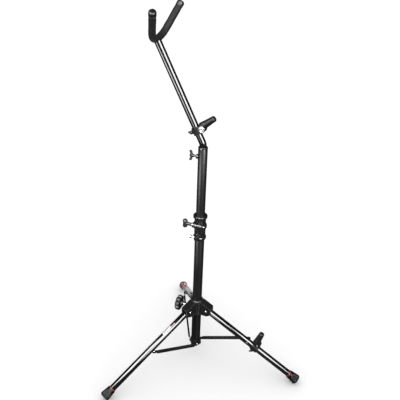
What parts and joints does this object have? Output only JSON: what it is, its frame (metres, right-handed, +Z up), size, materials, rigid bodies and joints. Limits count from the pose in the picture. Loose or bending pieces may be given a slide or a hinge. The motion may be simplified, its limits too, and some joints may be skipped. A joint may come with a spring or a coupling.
{
  "type": "saxophone stand",
  "caption": "Folding tripod saxophone stand: telescopic mast with a height clutch, leaning arm with a padded yoke, and padded pegs on the arm and front leg.",
  "frame": {"origin": "on the floor, under the mast's axis", "axes": "+Z up, +X towards the front leg that carries the lower peg"},
  "size_m": [0.52, 0.596, 1.0636],
  "materials": {
    "mast_black": "semi-gloss black powder coat",
    "gloss_black": "gloss black enamel",
    "bracket_black": "satin black painted steel",
    "steel": "bright zinc-plated steel",
    "black_plastic": "moulded black nylon",
    "foam": "dense black foam sleeve",
    "rubber": "matte black rubber",
    "red_ring": "dark red moulded ring"
  },
  "bodies": {
    "base": {"lower_mast": "mast_black", "mast_plug": "black_plastic", "lower_bracket": "bracket_black", "bracket_rivets": "steel", "clutch_band": "bracket_black", "clutch_band_bolt": "steel", "clutch_band_nut": "steel", "clutch_collar": "bracket_black", "clutch_bush": "black_plastic", "clutch_nut": "steel"},
    "clutch_handle": {"clutch_screw": "steel", "clutch_knob": "black_plastic"},
    "upper_tube": {"upper_mast": "mast_black", "mast_boss": "bracket_black"},
    "top_screw": {"top_wing": "black_plastic", "top_wing_stem": "bracket_black"},
    "insert": {"mast_insert": "black_plastic"},
    "arm": {"arm_tube": "gloss_black", "yoke_rod": "steel", "yoke_sleeve": "foam", "yoke_caps": "rubber"},
    "arm_clamp_body": {"arm_clamp": "bracket_black", "arm_pivot_bolt": "steel", "arm_pivot_nut": "steel"},
    "arm_peg": {"arm_peg_core": "bracket_black", "arm_peg_rubber": "rubber"},
    "arm_screw": {"arm_wing": "black_plastic", "arm_wing_stem": "steel"},
    "hub": {"hub_bracket": "bracket_black", "hub_bush": "black_plastic", "hub_boss": "bracket_black", "hub_rivets": "steel"},
    "hub_screw": {"hub_knob": "black_plastic", "hub_knob_stem": "steel"},
    "leg_clamp_body": {"leg_clamp": "bracket_black", "leg_pivot_bolt": "steel", "leg_pivot_nut": "bracket_black"},
    "leg_peg": {"leg_peg_core": "bracket_black", "leg_peg_rubber": "rubber"},
    "leg_screw": {"leg_wing": "black_plastic", "leg_wing_stem": "steel"},
    "leg_front": {"leg_tube_front": "gloss_black", "leg_stud_front": "bracket_black", "foot_ring_front": "red_ring", "foot_front": "rubber"},
    "brace_front_body": {"brace_front": "bracket_black", "brace_rivet_front": "steel"},
    "leg_rear": {"leg_tube_rear": "gloss_black", "leg_stud_rear": "bracket_black", "foot_ring_rear": "red_ring", "foot_rear": "rubber"},
    "brace_rear_body": {"brace_rear": "bracket_black", "brace_rivet_rear": "steel"},
    "leg_side": {"leg_tube_side": "gloss_black", "leg_stud_side": "bracket_black", "foot_ring_side": "red_ring", "foot_side": "rubber"},
    "brace_side_body": {"brace_side": "bracket_black", "brace_rivet_side": "steel"}
  },
  "joints": [
    {"name": "mast_height", "type": "slide", "parent": "base", "child": "upper_tube", "axis": [0, 0, 1], "range_m": [-0.14, 0.1]},
    {"name": "clutch_turn", "type": "hinge", "parent": "base", "child": "clutch_handle", "pos_m": [0, -0.021, 0.485], "axis": [-1, 0, 0], "range_deg": [0, 450]},
    {"name": "top_screw_turn", "type": "hinge", "parent": "upper_tube", "child": "top_screw", "pos_m": [0, 0, 0.685], "axis": [-1, 0, 0], "range_deg": [0, 450]},
    {"name": "arm_swivel", "type": "hinge", "parent": "upper_tube", "child": "insert", "pos_m": [0, 0, 0.713], "axis": [0, 0, 1], "range_deg": [-180, 180]},
    {"name": "arm_height", "type": "slide", "parent": "insert", "child": "arm", "axis": [0, 0, 1], "range_m": [0, 0.1]},
    {"name": "arm_clamp_slide", "type": "slide", "parent": "arm", "child": "arm_clamp_body", "axis": [-0.4617, 0, 0.887], "range_m": [-0.015, 0.17]},
    {"name": "arm_peg_tilt", "type": "hinge", "parent": "arm_clamp_body", "child": "arm_peg", "pos_m": [-0.00293, 0, 0.76544], "axis": [0, -1, 0], "range_deg": [-60, 10]},
    {"name": "arm_screw_turn", "type": "hinge", "parent": "arm_clamp_body", "child": "arm_screw", "pos_m": [-0.01801, 0, 0.75759], "axis": [-0.887, 0, -0.4617], "range_deg": [0, 450]},
    {"name": "hub_slide", "type": "slide", "parent": "base", "child": "hub", "axis": [0, 0, 1], "range_m": [0, 0.18122]},
    {"name": "hub_knob_turn", "type": "hinge", "parent": "hub", "child": "hub_screw", "pos_m": [0, 0, 0.18], "axis": [-1, 0, 0], "range_deg": [0, 450]},
    {"name": "leg_front_fold", "type": "hinge", "parent": "hub", "child": "leg_front", "pos_m": [0.034, 0, 0.182], "axis": [0, 1, 0], "range_deg": [0, 50.4]},
    {"name": "brace_front_fold", "type": "hinge", "parent": "base", "child": "brace_front_body", "pos_m": [0.006, 0, 0.044], "axis": [0, -1, 0], "range_deg": [0, 51.25]},
    {"name": "leg_rear_fold", "type": "hinge", "parent": "hub", "child": "leg_rear", "pos_m": [-0.017, 0.02944, 0.182], "axis": [-0.866, -0.5, 0], "range_deg": [0, 50.4]},
    {"name": "brace_rear_fold", "type": "hinge", "parent": "base", "child": "brace_rear_body", "pos_m": [-0.003, 0.0052, 0.044], "axis": [0.866, 0.5, 0], "range_deg": [0, 51.25]},
    {"name": "leg_side_fold", "type": "hinge", "parent": "hub", "child": "leg_side", "pos_m": [-0.017, -0.02944, 0.182], "axis": [0.866, -0.5, 0], "range_deg": [0, 50.4]},
    {"name": "brace_side_fold", "type": "hinge", "parent": "base", "child": "brace_side_body", "pos_m": [-0.003, -0.0052, 0.044], "axis": [-0.866, 0.5, 0], "range_deg": [0, 51.25]},
    {"name": "leg_clamp_slide", "type": "slide", "parent": "leg_front", "child": "leg_clamp_body", "axis": [0.8691, 0, -0.4947], "range_m": [-0.012, 0.1]},
    {"name": "leg_peg_tilt", "type": "hinge", "parent": "leg_clamp_body", "child": "leg_peg", "pos_m": [0.20256, 0, 0.10618], "axis": [0, -1, 0], "range_deg": [-60, 10]},
    {"name": "leg_screw_turn", "type": "hinge", "parent": "leg_clamp_body", "child": "leg_screw", "pos_m": [0.19391, 0, 0.09098], "axis": [-0.4947, 0, -0.8691], "range_deg": [0, 450]}
  ],
  "couplings": [
    {"joint": "leg_front_fold", "follows": "hub_slide", "rad_per_m": 4.8492},
    {"joint": "brace_front_fold", "follows": "hub_slide", "rad_per_m": 4.9311},
    {"joint": "leg_rear_fold", "follows": "hub_slide", "rad_per_m": 4.8492},
    {"joint": "brace_rear_fold", "follows": "hub_slide", "rad_per_m": 4.9311},
    {"joint": "leg_side_fold", "follows": "hub_slide", "rad_per_m": 4.8492},
    {"joint": "brace_side_fold", "follows": "hub_slide", "rad_per_m": 4.9311}
  ]
}
